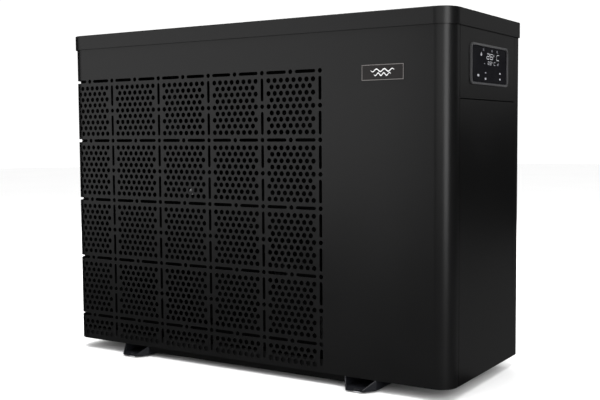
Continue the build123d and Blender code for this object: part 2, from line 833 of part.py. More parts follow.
parts = {
    "base_pan": make_base_pan(),
    "left_foot": make_foot(-foot_spacing / 2),
    "right_foot": make_foot(foot_spacing / 2),
    "foot_pads": make_foot_pads(),
    "front_panel": make_front_panel(),
    "left_side_panel": make_left_side_panel(),
    "right_upper_panel": upper_panel,
    "right_service_panel": make_service_panel(),
    "rear_corner_panel": make_rear_corner_panel(),
    "rear_coil_frame": make_rear_frame(),
    "coil_guard": make_coil_guard(),
    "guard_clips": make_guard_clips(),
    "top_cover": make_top_cover(),
    "partition_plate": make_partition(),
    "evaporator_fins": make_coil_fins(),
    "coil_end_plates": make_coil_end_plates(),
    "coil_return_bends": make_return_bends(),
    "fan_shroud": make_fan_shroud(),
    "fan_wheel": make_fan_wheel(),
    "fan_shaft": make_shaft(),
    "fan_nut": make_fan_nut(),
    "fan_motor": make_motor(),
    "motor_bracket": make_motor_bracket(),
    "compressor": make_compressor(),
    "compressor_base": make_compressor_base(),
    "compressor_grommets": make_grommets(),
    "compressor_bolts": make_mount_bolts(),
    "compressor_terminal_cap": make_terminal_cap(),
    "accumulator": make_accumulator(),
    "accumulator_strap": make_accumulator_strap(),
    "four_way_valve": make_four_way_valve(),
    "expansion_valve": make_expansion_valve(),
    "water_heat_exchanger": make_heat_exchanger(),
    "flow_switch": make_flow_switch(),
    "electrics_box": make_electrics_box(),
    "electrics_box_cover": make_electrics_cover(),
    "inverter_board": make_inverter_board(),
    "heat_sink": make_heat_sink(),
    "line_choke": make_choke(),
    "terminal_block": make_terminal_block(),
    "cable_glands": make_glands(),
    "display_bezel": bezel,
    "display_glass": glass,
    "display_board": display_board,
    "nameplate": make_nameplate(),
    "drain_nipple": make_drain_nipple(),
    "casing_screws": make_casing_screws(),
}
parts.update(make_pipes())
for port, z in (("inlet", port_height_low), ("outlet", port_height_high)):
    parts[f"{port}_pipe"] = make_water_pipe(z)
    parts[f"{port}_tailpiece"] = make_tailpiece(z)
    parts[f"{port}_union_nut"] = make_union_nut(z)

for name, shape in parts.items():
    save(name, shape)
    print(name, round(shape.volume), len(shape.solids()))
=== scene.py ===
import json
import math
import bpy
import numpy as np
from mathutils import Matrix, Vector


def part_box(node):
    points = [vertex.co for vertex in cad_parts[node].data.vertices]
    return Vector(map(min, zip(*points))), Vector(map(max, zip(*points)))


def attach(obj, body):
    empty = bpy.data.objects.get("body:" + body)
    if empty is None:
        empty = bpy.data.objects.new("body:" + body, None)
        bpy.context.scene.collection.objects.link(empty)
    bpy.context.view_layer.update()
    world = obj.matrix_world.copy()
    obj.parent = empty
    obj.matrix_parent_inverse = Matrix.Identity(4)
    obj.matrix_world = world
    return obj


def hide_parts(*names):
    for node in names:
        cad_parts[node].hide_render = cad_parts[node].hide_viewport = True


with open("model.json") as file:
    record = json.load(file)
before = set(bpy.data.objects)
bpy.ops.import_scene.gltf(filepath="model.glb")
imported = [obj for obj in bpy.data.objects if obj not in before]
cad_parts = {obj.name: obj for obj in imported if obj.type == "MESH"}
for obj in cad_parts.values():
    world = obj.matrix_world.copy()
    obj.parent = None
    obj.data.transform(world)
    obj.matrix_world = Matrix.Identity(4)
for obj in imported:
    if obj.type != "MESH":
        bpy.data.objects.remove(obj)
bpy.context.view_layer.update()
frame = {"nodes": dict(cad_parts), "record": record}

print("frame loaded:", len(frame["nodes"]), "nodes")

mm = 0.001
bumpDepth = 0.2 * mm
casingLow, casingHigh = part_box("front_panel")
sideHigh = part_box("left_side_panel")[1]
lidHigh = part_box("top_cover")[1]
leftX, rightX = casingLow.x, casingHigh.x
frontY, backY = casingLow.y, sideHigh.y
baseZ, wallTop = casingLow.z, casingHigh.z
topZ = lidHigh.z


def meshPiece(name, verts, faces, material, smoothAngle=30.0):
    # verts is an (n, 3) array in metres, faces is a list of index lists
    mesh = bpy.data.meshes.new(name)
    mesh.from_pydata(verts.tolist(), [], faces)
    mesh.validate()
    mesh.shade_smooth()
    mesh.set_sharp_from_angle(angle=math.radians(smoothAngle))
    mesh.materials.append(material)
    piece = bpy.data.objects.new(name, mesh)
    bpy.context.scene.collection.objects.link(piece)
    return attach(piece, "casing")


def gridFaces(rows, columns):
    # quads of a rows x columns grid of points
    r, c = np.meshgrid(np.arange(rows - 1), np.arange(columns - 1), indexing="ij")
    corner = r * columns + c
    quads = np.stack([corner, corner + 1, corner + columns + 1, corner + columns], axis=-1)
    return quads.reshape(-1, 4).tolist()


def joinMeshes(parts):
    # several (verts, faces) pairs as one pair
    verts, faces, start = [], [], 0
    for points, polygons in parts:
        verts.append(points)
        faces += [[index + start for index in polygon] for polygon in polygons]
        start += len(points)
    return np.concatenate(verts), faces


def openEdges(mesh):
    loopEdges = np.zeros(len(mesh.loops), np.int32)
    mesh.loops.foreach_get("edge_index", loopEdges)
    return int((np.bincount(loopEdges, minlength=len(mesh.edges)) != 2).sum())


def newMaterial(name, colour, roughness, metallic=0.0, specular=0.5):
    material = bpy.data.materials.new(name)
    material.use_nodes = True
    shader = material.node_tree.nodes["Principled BSDF"]
    shader.inputs["Base Color"].default_value = (*colour, 1.0)
    shader.inputs["Roughness"].default_value = roughness
    shader.inputs["Metallic"].default_value = metallic
    shader.inputs["Specular IOR Level"].default_value = specular
    return material


def patternOf(material, scale, detail=3.0, stretch=(1.0, 1.0, 1.0)):
    # noise on Object coordinates, scale in features per metre
    nodes, links = material.node_tree.nodes, material.node_tree.links
    place = nodes.new("ShaderNodeTexCoord")
    mapping = nodes.new("ShaderNodeMapping")
    mapping.inputs["Scale"].default_value = stretch
    noise = nodes.new("ShaderNodeTexNoise")
    noise.inputs["Scale"].default_value = scale
    noise.inputs["Detail"].default_value = detail
    links.new(place.outputs["Object"], mapping.inputs["Vector"])
    links.new(mapping.outputs["Vector"], noise.inputs["Vector"])
    return noise


def varyColour(material, noise, dark, light, low=0.35, high=0.65):
    nodes, links = material.node_tree.nodes, material.node_tree.links
    ramp = nodes.new("ShaderNodeValToRGB")
    ramp.color_ramp.elements[0].position = low
    ramp.color_ramp.elements[0].color = (*dark, 1.0)
    ramp.color_ramp.elements[1].position = high
    ramp.color_ramp.elements[1].color = (*light, 1.0)
    links.new(noise.outputs["Fac"], ramp.inputs["Fac"])
    links.new(ramp.outputs["Color"], nodes["Principled BSDF"].inputs["Base Color"])


def varyRoughness(material, noise, low, high):
    nodes, links = material.node_tree.nodes, material.node_tree.links
    spread = nodes.new("ShaderNodeMapRange")
    spread.inputs["To Min"].default_value = low
    spread.inputs["To Max"].default_value = high
    links.new(noise.outputs["Fac"], spread.inputs["Value"])
    links.new(spread.outputs["Result"], nodes["Principled BSDF"].inputs["Roughness"])


def addBump(material, noise, strength, distance):
    nodes, links = material.node_tree.nodes, material.node_tree.links
    bump = nodes.new("ShaderNodeBump")
    bump.inputs["Strength"].default_value = strength
    bump.inputs["Distance"].default_value = distance
    links.new(noise.outputs["Fac"], bump.inputs["Height"])
    links.new(bump.outputs["Normal"], nodes["Principled BSDF"].inputs["Normal"])


def shade(level, tint=(1.0, 1.0, 1.0)):
    return tuple(level * part for part in tint)


paintValues = {"dark": 0.0038, "light": 0.0047, "roughLow": 0.30, "roughHigh": 0.37,
               "grain": 900.0, "cloud": 6.0, "bump": 0.10, "specular": 0.45}


def powderCoat(name, dark, light, tint=(1.0, 1.0, 1.03)):
    # baked powder paint: fine orange-peel bump, faint clouding of colour and gloss
    values = paintValues
    material = newMaterial(name, shade(light, tint), values["roughHigh"], specular=values["specular"])
    cloud = patternOf(material, values["cloud"], 4.0)
    varyColour(material, cloud, shade(dark, tint), shade(light, tint))
    varyRoughness(material, cloud, values["roughLow"], values["roughHigh"])
    addBump(material, patternOf(material, values["grain"], 2.0), values["bump"], bumpDepth)
    return material


def plastic(name, dark, light, roughness, grain=700.0, bump=0.15, tint=(1.0, 1.0, 1.0), specular=0.5):
    material = newMaterial(name, shade(light, tint), roughness, specular=specular)
    cloud = patternOf(material, 14.0, 3.0)
    varyColour(material, cloud, shade(dark, tint), shade(light, tint))
    varyRoughness(material, cloud, roughness - 0.05, roughness + 0.05)
    addBump(material, patternOf(material, grain, 2.0), bump, bumpDepth)
    return material


def bareMetal(name, dark, light, roughness, tint, stretch=(1.0, 1.0, 1.0), scale=120.0):
    material = newMaterial(name, shade(light, tint), roughness, metallic=1.0)
    grain = patternOf(material, scale, 5.0, stretch)
    varyColour(material, grain, shade(dark, tint), shade(light, tint))
    varyRoughness(material, grain, roughness - 0.08, roughness + 0.10)
    addBump(material, grain, 0.08, bumpDepth)
    return material


casingPaint = powderCoat("casingPaint", paintValues["dark"], paintValues["light"])
# base pan under the body: black paint made darker than the casing paint, as painted shade for the shadow under
# the unit
panPaintAndShade = powderCoat("panPaintAndShade", 0.0010, 0.0018)
footPaint = powderCoat("footPaint", 0.010, 0.016, (0.92, 0.96, 1.15))
blackPlastic = plastic("blackPlastic", 0.004, 0.006, 0.45)
bezelPlastic = plastic("bezelPlastic", 0.035, 0.048, 0.30, bump=0.05, tint=(1.0, 1.0, 1.04))
unionPlastic = plastic("unionPlastic", 0.018, 0.028, 0.38, grain=400.0)
waterPlastic = plastic("waterPlastic", 0.50, 0.58, 0.40)
rubberBlack = plastic("rubberBlack", 0.012, 0.020, 0.75, grain=500.0, bump=0.4)
circuitBoard = plastic("circuitBoard", 0.02, 0.07, 0.35, tint=(0.2, 1.0, 0.5))
galvanised = bareMetal("galvanised", 0.10, 0.18, 0.50, (0.96, 0.98, 1.0), scale=45.0)
finMetal = bareMetal("finMetal", 0.05, 0.10, 0.45, (0.95, 0.98, 1.0), (1.0, 1.0, 0.08))
sinkMetal = bareMetal("sinkMetal", 0.42, 0.62, 0.38, (0.95, 0.97, 1.0), (1.0, 1.0, 0.08))
copperMetal = bareMetal("copperMetal", 0.45, 0.75, 0.30, (1.0, 0.55, 0.36))
shaftSteel = bareMetal("shaftSteel", 0.40, 0.55, 0.28, (1.0, 1.0, 1.0), (1.0, 0.1, 1.0))
screwSteel = bareMetal("screwSteel", 0.10, 0.22, 0.36, (1.0, 0.98, 0.95))
shellPaint = plastic("shellPaint", 0.008, 0.014, 0.28, bump=0.05)
# fan parts inside the casing: their black plastic made darker than real plastic, with little gloss, as painted
# shade for the dark inside seen through the holes
innerBlackAndShade = plastic("innerBlackAndShade", 0.0010, 0.0016, 0.80, specular=0.08)
print("materials made")


def glassMaterial():
    # smoked touch glass: polished, with a faint haze of fingerprints in the roughness
    material = newMaterial("touchGlass", (0.0035, 0.0035, 0.0045), 0.10, specular=0.01)
    haze = patternOf(material, 25.0, 4.0)
    varyRoughness(material, haze, 0.06, 0.16)
    varyColour(material, haze, (0.003, 0.003, 0.004), (0.005, 0.005, 0.006))
    return material


def litMaterial(name, colour, strength):
    # lit segment: the light is uneven over the strokes, as behind a printed mask
    material = newMaterial(name, colour, 0.4)
    shader = material.node_tree.nodes["Principled BSDF"]
    shader.inputs["Emission Color"].default_value = (*colour, 1.0)
    shader.inputs["Emission Strength"].default_value = strength
    varyColour(material, patternOf(material, 300.0), tuple(0.8 * c for c in colour), colour)
    return material


touchGlass = glassMaterial()
litWhite = litMaterial("litWhite", (0.36, 0.36, 0.38), 0.22)
litMiddle = litMaterial("litMiddle", (0.28, 0.28, 0.30), 0.18)
litDim = litMaterial("litDim", (0.16, 0.16, 0.18), 0.12)
plateInk = plastic("plateInk", 0.004, 0.006, 0.35, bump=0.05, tint=(1.35, 0.9, 0.85))
plateLine = plastic("plateLine", 0.11, 0.14, 0.45, bump=0.05, tint=(1.0, 0.93, 0.9))
plateMark = plastic("plateMark", 0.60, 0.75, 0.45, bump=0.05)


slotMaterials = {
    "casing_paint": casingPaint, "pan_paint": panPaintAndShade, "galvanised": galvanised, "rubber": rubberBlack,
    "black_plastic": blackPlastic, "bezel_plastic": bezelPlastic, "screen": touchGlass, "board": circuitBoard,
    "coil_fin": finMetal, "copper": copperMetal, "steel_shell": shellPaint, "water_plastic": waterPlastic,
    "union_plastic": unionPlastic, "sink_metal": sinkMetal, "plate_print": plateInk, "screw_steel": screwSteel,
}
for entry in frame["record"]["subparts"]:
    node = frame["nodes"][entry["node"]]
    node.data.materials.clear()
    node.data.materials.append(slotMaterials[entry["material_slot"]])
for foot in ("left_foot", "right_foot"):
    frame["nodes"][foot].data.materials[0] = footPaint
# the fan shroud, wheel and nut take the painted shade of the casing's inside
for inner in ("fan_shroud", "fan_wheel", "fan_nut"):
    frame["nodes"][inner].data.materials[0] = innerBlackAndShade
frame["nodes"]["fan_shaft"].data.materials[0] = shaftSteel
print("CAD nodes painted")


# The sheet is laid out flat first. u runs along the sheet from the grille's right edge towards the left,
# w runs down from the grille's top line. Then the flat layout is carried round the casing.

grille = {
    "cellWidth": 122.0, "cellHeight": 120.0, "rightMargin": 244.0, "topDrop": 93.5,
    "holeSpacing": 13.4, "rowSpacing": 11.5, "holeRadius": 4.6, "dotRadius": 4.2, "slotRadius": 3.0,
    "rows": 9, "lastRows": 3, "fullRows": 4, "frontCells": 5, "sideCells": 2,
    "bendRadius": 30.0, "thickness": 1.2, "slotStart": 9.0, "lastSlot": 30.0, "holeSides": 16,
    "cornerSlot": 55.0, "cornerOver": 3.0, "fold": 11.0, "foldEnd": 47.2, "foldStart": 2.0,
    "holesAcross": 8, "returnLength": 6.0, "bendPlaces": 13,
}
grilleX = rightX / mm - grille["rightMargin"]
grilleZ = topZ / mm - grille["topDrop"]
flatRun = grilleX - (leftX / mm + grille["bendRadius"])
bendRun = math.pi / 2 * grille["bendRadius"]
crossing = grille["frontCells"] * grille["cellWidth"]
fieldWide = grille["holesAcross"] * grille["holeSpacing"]
halfStrip = grille["holesAcross"] - 1
ringStart = -0.75 * math.pi  # a ring's first point faces the lowest corner of its tile
fieldHigh = grille["rows"] * grille["rowSpacing"]
stripHalfU = (grille["cellWidth"] - fieldWide) / 2
stripHalfW = (grille["cellHeight"] - fieldHigh) / 2
lastFieldHigh = grille["lastRows"] * grille["rowSpacing"]
topEdge = -(wallTop / mm - grilleZ)
bottomEdge = grilleZ - baseZ / mm


def rectangleLoop(width, height, stepsU, stepsW):
    # points round a rectangle, anticlockwise from its lowest corner, evenly spaced on each side
    across = np.linspace(0, 1, stepsU, endpoint=False)
    along = np.linspace(0, 1, stepsW, endpoint=False)
    low = np.stack([across, 0 * across], axis=1)
    rightSide = np.stack([1 + 0 * along, along], axis=1)
    high = np.stack([1 - across, 1 + 0 * across], axis=1)
    leftSide = np.stack([0 * along, 1 - along], axis=1)
    loop = np.concatenate([low, rightSide, high, leftSide])
    return (loop - 0.5) * [width, height]


def circleLoop(radius):
    turn = ringStart + np.linspace(0, 2 * np.pi, grille["holeSides"], endpoint=False)
    return radius * np.stack([np.cos(turn), np.sin(turn)], axis=1)


def roundSlot(outer, halfLength, radius, upright):
    # every point of the surrounding rectangle pulled in to the slot's outline: straight across from the slot's
    # middle line, or towards the centre of the round end
    along = 1 if upright else 0
    core = np.zeros_like(outer)
    reach = halfLength - radius
    outerReach = np.abs(outer[:, along]).max()
    core[:, along] = np.clip(outer[:, along] * halfLength / outerReach, -reach, reach)
    stretched = outer.copy()
    stretched[:, along] *= halfLength / outerReach
    way = stretched - core
    inMiddle = np.abs(stretched[:, along]) < reach - 1e-9
    way[inMiddle, along] = 0.0
    way /= np.linalg.norm(way, axis=1, keepdims=True)
    return core + radius * way


def ringTile(outer, inner):
    # faces between an outer loop and an inner loop that has as many points, or twice as many
    count, ratio = len(outer), len(inner) // len(outer)
    step = np.arange(count)
    nextStep = (step + 1) % count
    first = count + step * ratio
    if ratio == 1:
        faces = np.stack([step, nextStep, count + nextStep, first], axis=1)
    else:
        faces = np.stack([step, nextStep, count + nextStep * 2, first + 1, first], axis=1)
    return np.concatenate([outer, inner]), faces.tolist()


def stamped(tile, centres):
    # the same tile at every centre, as one mesh
    verts, faces = tile
    centres = np.asarray(centres, float).reshape(-1, 2)
    points = (centres[:, None, :] + verts[None, :, :]).reshape(-1, 2)
    if not len(centres):
        return points, []
    shift = (np.arange(len(centres)) * len(verts))[:, None, None]
    bySize = {}
    for face in faces:
        bySize.setdefault(len(face), []).append(face)
    polygons = []
    for group in bySize.values():
        polygons += (shift + np.array(group)[None]).reshape(-1, len(group[0])).tolist()
    return points, polygons


def plainBlock(uPlaces, wPlaces):
    # a grid of quads over the given places in both directions
    u, w = np.meshgrid(uPlaces, wPlaces, indexing="ij")
    points = np.stack([u, w], axis=-1).reshape(-1, 2)
    return points, gridFaces(len(uPlaces), len(wPlaces))


def holeTile():
    outer = rectangleLoop(grille["holeSpacing"], grille["rowSpacing"], 2, 2)
    return ringTile(outer, circleLoop(grille["holeRadius"]))


def dotTile(width, height):
    outer = rectangleLoop(width, height, 2, 2)
    return ringTile(outer, circleLoop(grille["dotRadius"]))


def slotTile(width, height, stepsU, stepsW, length, upright, shift):
    outer = rectangleLoop(width, height, stepsU, stepsW)
    inner = roundSlot(outer, length / 2, grille["slotRadius"], upright)
    inner[:, 1 if upright else 0] += shift
    return ringTile(outer, inner)


def fieldParts(column, top, rows):
    # holes in staggered rows, every second one a hole shorter with a half-width blank at both its ends
    left = column * grille["cellWidth"] + stripHalfU
    spacing, rowStep = grille["holeSpacing"], grille["rowSpacing"]
    row = np.arange(rows)
    w = top + (row + 0.5) * rowStep
    long = [(left + (k + 0.5) * spacing, w[r]) for r in row[::2] for k in range(grille["holesAcross"])]
    short = [(left + (k + 1.0) * spacing, w[r]) for r in row[1::2] for k in range(grille["holesAcross"] - 1)]
    blank = rectangleLoop(spacing / 2, rowStep, 1, 2)
    blankTile = (blank, [list(range(len(blank)))])
    ends = [(left + place, w[r]) for r in row[1::2] for place in (spacing / 4, fieldWide - spacing / 4)]
    return [stamped(holeTile(), long + short), stamped(blankTile, ends)]


cornerSlotMiddle = crossing + grille["cornerOver"] - grille["cornerSlot"] / 2


def cornerTile(span):
    # the longer slot round the bend, through the crossing; its place is measured from the slot's middle
    start = crossing - stripHalfU - span
    steps = grille["holeSpacing"] / 2 * np.arange(grille["holesAcross"])
    uPlaces = np.r_[start + steps, crossing, crossing + stripHalfU]
    low = np.stack([uPlaces[:-1], np.full(len(uPlaces) - 1, -stripHalfW)], axis=1)
    high = np.stack([uPlaces[:0:-1], np.full(len(uPlaces) - 1, stripHalfW)], axis=1)
    rightSide = np.array([[uPlaces[-1], -stripHalfW], [uPlaces[-1], 0.0]])
    leftSide = np.array([[uPlaces[0], stripHalfW], [uPlaces[0], 0.0]])
    outer = np.concatenate([low, rightSide, high, leftSide]) - [cornerSlotMiddle, 0.0]
    return ringTile(outer, roundSlot(outer, grille["cornerSlot"] / 2, grille["slotRadius"], False))


def levelStrip(column, w):
    # a dashed line across the top of a cell: slot, dot, slot
    left = column * grille["cellWidth"] + stripHalfU
    spacing = grille["holeSpacing"]
    span = halfStrip * spacing / 2
    slotLength = grille["cellWidth"] / 2 - 2 * grille["slotStart"]
    middle = column * grille["cellWidth"] + grille["cellWidth"] / 4
    shift = middle - (left + span / 2)
    tile = slotTile(span, 2 * stripHalfW, halfStrip, 2, slotLength, False, shift)
    mirror = slotTile(span, 2 * stripHalfW, halfStrip, 2, slotLength, False, -shift)
    parts = [stamped(tile, [(left + span / 2, w)])]
    parts.append(stamped(dotTile(spacing, 2 * stripHalfW), [(left + fieldWide / 2, w)]))
    if column + 1 == grille["frontCells"]:
        parts.append(stamped(cornerTile(span), [(cornerSlotMiddle, w)]))
    else:
        parts.append(stamped(mirror, [(left + fieldWide - span / 2, w)]))
    return parts


def uprightStrip(edge):
    # a dashed line down the side of the cells: dot, then slot, dot, slot in each cell
    u = edge * grille["cellWidth"]
    height = grille["cellHeight"]
    rowStep = grille["rowSpacing"]
    steps = grille["rows"] - 1
    span = steps * rowStep / 2
    slotLength = height / 2 - 2 * grille["slotStart"]
    crossings = [(u, line * height) for line in range(grille["fullRows"] + 1)]
    parts = [stamped(dotTile(2 * stripHalfU, 2 * stripHalfW), crossings)]
    for line in range(grille["fullRows"]):
        top = line * height + stripHalfW
        shift = line * height + height / 4 - (top + span / 2)
        upper = slotTile(2 * stripHalfU, span, 2, steps, slotLength, True, shift)
        lower = slotTile(2 * stripHalfU, span, 2, steps, slotLength, True, -shift)
        parts.append(stamped(upper, [(u, top + span / 2)]))
        parts.append(stamped(dotTile(2 * stripHalfU, rowStep), [(u, line * height + height / 2)]))
        parts.append(stamped(lower, [(u, top + fieldHigh - span / 2)]))
    lastTop = grille["fullRows"] * height + stripHalfW
    lastMiddle = grille["fullRows"] * height + grille["slotStart"] + grille["lastSlot"] / 2
    shift = lastMiddle - (lastTop + lastFieldHigh / 2)
    tile = slotTile(2 * stripHalfU, lastFieldHigh, 2, 2 * grille["lastRows"], grille["lastSlot"], True, shift)
    parts.append(stamped(tile, [(u, lastTop + lastFieldHigh / 2)]))
    return parts


def cornerStrip():
    # the round corner has no upright dashed line: plain sheet between the long level slots
    across = crossing + stripHalfU * np.array([-1.0, 0.0, 1.0])
    parts = []
    for line in range(grille["fullRows"] + 1):
        rows = grille["rows"] if line < grille["fullRows"] else grille["lastRows"]
        top = line * grille["cellHeight"] + stripHalfW
        parts.append(plainBlock(across, top + grille["rowSpacing"] / 2 * np.arange(2 * rows + 1)))
    return parts


def cellPlaces(firstColumn, columns, firstEdge, edges):
    # every u where two openings' tiles meet, so that the plain margins join them point to point
    width = grille["cellWidth"]
    inField = stripHalfU + grille["holeSpacing"] / 2 * np.arange(2 * grille["holesAcross"] + 1)
    inStrip = stripHalfU * np.array([-1.0, 0.0, 1.0])
    fields = [column * width + inField for column in range(firstColumn, columns)]
    strips = [edge * width + inStrip for edge in range(firstEdge, edges)]
    return np.unique(np.round(np.concatenate(fields + strips), 6))


def rowPlaces():
    half = grille["rowSpacing"] / 2
    places = []
    for line in range(grille["fullRows"] + 1):
        top = line * grille["cellHeight"]
        count = 2 * (grille["rows"] if line < grille["fullRows"] else grille["lastRows"]) + 1
        places += [top - stripHalfW, top] + list(top + stripHalfW + half * np.arange(count))
    return np.unique(np.round(places, 6))


def roundTheCasing(u, w, depth, folded):
    # the flat layout carried round the plan: straight front, quarter bend, straight side, and at the far right
    # the other bend with its short return; depth is measured in from the outer face. A folded sheet turns
    # in at the end of the left bend instead of running on along the side
    radius = grille["bendRadius"]
    rightFlat = -(grille["rightMargin"] - radius)
    x, y = grilleX - u, np.full_like(u, frontY / mm) + depth
    turn = np.clip((u - flatRun) / radius, 0, math.pi / 2)
    inner = radius - depth
    cornerX, cornerY = leftX / mm + radius, frontY / mm + radius
    onLeft = u > flatRun
    past = np.maximum(u - flatRun - bendRun, 0)
    x = np.where(onLeft, cornerX - inner * np.sin(turn), x)
    y = np.where(onLeft, cornerY - inner * np.cos(turn) + past, y)
    if folded:
        x = np.where(past > 0, leftX / mm + np.maximum(past, depth), x)
        y = np.where(past > 0, cornerY - depth, y)
    turnRight = np.clip((rightFlat - u) / radius, 0, math.pi / 2)
    pastRight = np.maximum(rightFlat - u - bendRun, 0)
    onRight = u < rightFlat
    x = np.where(onRight, rightX / mm - radius + inner * np.sin(turnRight), x)
    y = np.where(onRight, cornerY - inner * np.cos(turnRight) + pastRight, y)
    return np.stack([x, y, grilleZ - w], axis=1) * mm


def sheetPiece(name, parts, nodeReplaced, folded):
    # merges the tiles' shared points, adds the inner face and a wall along every open edge
    flat, faces = joinMeshes(parts)
    keys = np.round(flat * 1000).astype(np.int64)  # to a thousandth of a millimetre
    _, first, where = np.unique(keys, axis=0, return_index=True, return_inverse=True)
    flat, where = flat[first], where.ravel()
    sizes = np.array([len(face) for face in faces])
    merged = where[np.concatenate(faces)]
    starts = np.concatenate([[0], np.cumsum(sizes)[:-1]])
    nextIndex = np.arange(len(merged)) + 1
    nextIndex[starts + sizes - 1] = starts
    edges = np.stack([merged, merged[nextIndex]], axis=1)
    count = len(flat)
    forward = edges[:, 0] * count + edges[:, 1]
    backward = edges[:, 1] * count + edges[:, 0]
    rim = edges[~np.isin(forward, backward)]
    walls = np.stack([rim[:, 1], rim[:, 0], rim[:, 0] + count, rim[:, 1] + count], axis=1)
    outerFaces = [part.tolist() for part in np.split(merged, starts[1:])]
    innerFaces = [[index + count for index in face[::-1]] for face in outerFaces]
    outer = roundTheCasing(flat[:, 0], flat[:, 1], 0.0, folded)
    inner = roundTheCasing(flat[:, 0], flat[:, 1], grille["thickness"], folded)
    allFaces = outerFaces + innerFaces + walls.tolist()
    piece = meshPiece(name, np.concatenate([outer, inner]), allFaces, casingPaint)
    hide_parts(nodeReplaced)
    print(name, "faces", len(piece.data.polygons), "open edges", openEdges(piece.data))


def grilleParts(firstColumn, lastColumn, edges):
    parts = []
    for column in range(firstColumn, lastColumn):
        for line in range(grille["fullRows"] + 1):
            top = line * grille["cellHeight"]
            rows = grille["rows"] if line < grille["fullRows"] else grille["lastRows"]
            parts += levelStrip(column, top)
            parts += fieldParts(column, top + stripHalfW, rows)
    for edge in edges:
        parts += uprightStrip(edge)
    return parts


def makeFrontSheet():
    columns = grille["frontCells"]
    parts = grilleParts(0, columns, range(columns)) + cornerStrip()
    across = cellPlaces(0, columns, 0, columns + 1)
    down = rowPlaces()
    rightFlat = -(grille["rightMargin"] - grille["bendRadius"])
    bend = rightFlat - np.linspace(0, bendRun, grille["bendPlaces"])
    returnEnd = rightFlat - bendRun - grille["returnLength"]
    plain = np.concatenate([[returnEnd], bend[::-1], [(rightFlat - stripHalfU) / 2, -stripHalfU]])
    fold = np.array([across[-1], flatRun + bendRun + grille["foldStart"], flatRun + bendRun + grille["fold"]])
    wholeAcross = np.unique(np.round(np.concatenate([plain, across, fold]), 6))
    parts.append(plainBlock(plain, down))
    parts.append(plainBlock(fold, down[down < grilleZ - grille["foldEnd"]]))
    parts.append(plainBlock(wholeAcross, [topEdge, down[0]]))
    parts.append(plainBlock(wholeAcross[wholeAcross <= across[-1]], [down[-1], bottomEdge]))
    sheetPiece("frontSheet", parts, "front_panel", True)


def makeSideSheet():
    first = grille["frontCells"]
    last = first + grille["sideCells"]
    parts = grilleParts(first, last, range(first + 1, last + 1))
    across = cellPlaces(first, last, first + 1, last + 1)
    down = rowPlaces()
    rearEdge = flatRun + bendRun + (backY - frontY) / mm - grille["bendRadius"]
    beyond = np.array([across[-1], rearEdge - grille["thickness"]])
    wholeAcross = np.unique(np.round(np.concatenate([across, beyond]), 6))
    parts.append(plainBlock(beyond, down))
    parts.append(plainBlock(wholeAcross, [topEdge, down[0]]))
    parts.append(plainBlock(wholeAcross, [down[-1], bottomEdge]))
    sheetPiece("leftSideSheet", parts, "left_side_panel", False)


makeFrontSheet()
makeSideSheet()
print("perforated sheets made")


glassLow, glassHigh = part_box("display_glass")
# across and down are fractions of the glass, sizes are in millimetres
screen = {
    "gap": 0.02, "lift": 0.12, "stroke": 1.2, "lowerStroke": 0.96, "slant": 0.10, "barGap": 0.25,
    "digits": (0.42, 0.18, 12.0, 8.9), "lower": (0.45, 0.393, 7.0, 5.2), "digitStep": 15.5, "lowerStep": 9.6,
    "degreeRise": 0.62, "degreeSize": 0.30, "degreeStroke": 0.6,
    "keys": (((0.19, 0.81), 9.4, 4.4), ((0.39, 0.887), 7.4, 3.6),
             ((0.81, 0.695), 6.4, 3.4), ((0.81, 0.86), 6.4, 3.4)),
    "crossesAcross": (0.33, 0.57, 0.72), "crossesDown": 0.085, "crossHalf": (3.0, 2.0),
    "dots": (((0.39, 0.717), 6.0, 2.8), ((0.36, 0.465), 4.0, 2.2)),
    "wedge": (0.71, 0.47), "wedgeSize": (8.0, 4.8), "drop": (0.27, 0.215), "dropSize": 0.8,
}

# the seven bars of a figure, each from one corner place to another in a box one wide and two high
barPlaces = {"a": ((0, 2), (1, 2)), "b": ((1, 2), (1, 1)), "c": ((1, 1), (1, 0)), "d": ((0, 0), (1, 0)),
             "e": ((0, 1), (0, 0)), "f": ((0, 2), (0, 1)), "g": ((0, 1), (1, 1))}
figureBars = {"2": "abged", "6": "afgecd", "8": "abcdefg", "C": "afed"}


def barShape(start, end, stroke):
    # a bar with pointed ends, a little short of both places
    start, end = np.asarray(start, float), np.asarray(end, float)
    way = (end - start) / np.linalg.norm(end - start)
    side = np.array([-way[1], way[0]]) * stroke / 2
    short = way * stroke * screen["barGap"]
    first, last = start + short, end - short
    inset = way * stroke / 2
    return np.array([first, first + inset - side, last - inset - side,
                     last, last - inset + side, first + inset + side])


def figureShapes(text, corner, width, height, step, stroke):
    # bar figures from a top left corner; a ring of four short bars stands for the degree sign
    shapes = []
    for place, letter in enumerate(text):
        origin = np.array([corner[0] + place * step, corner[1] - height])
        if letter == "o":
            origin += [0.0, height * screen["degreeRise"]]
            ends = origin + np.array([[0, 0], [1, 0], [1, 1], [0, 1]]) * [width, height] * screen["degreeSize"]
            thin = stroke * screen["degreeStroke"]
            shapes += [barShape(ends[k], ends[(k + 1) % 4], thin) for k in range(4)]
            continue
        for bar in figureBars[letter]:
            a, b = (np.array(end) * [width, height / 2] for end in barPlaces[bar])
            a, b = (end + [end[1] * screen["slant"], 0.0] for end in (a, b))
            shapes.append(barShape(origin + a, origin + b, stroke))
    return shapes


def roundShape(centre, width, height, sides=16):
    turn = np.linspace(0, 2 * np.pi, sides, endpoint=False)
    return np.array(centre) + np.stack([np.cos(turn) * width / 2, np.sin(turn) * height / 2], axis=1)


def prisms(shapes, low, high):
    # flat shapes stood up between two depths: (n, 3) points as (first, second, depth) and their faces
    parts = []
    for shape in shapes:
        count = len(shape)
        points = np.concatenate([np.c_[shape, np.full(count, low)], np.c_[shape, np.full(count, high)]])
        step = np.arange(count)
        nextStep = (step + 1) % count
        walls = np.stack([step, nextStep, nextStep + count, step + count], axis=1).tolist()
        parts.append((points, [list(range(count))[::-1], list(range(count, 2 * count))] + walls))
    return joinMeshes(parts)


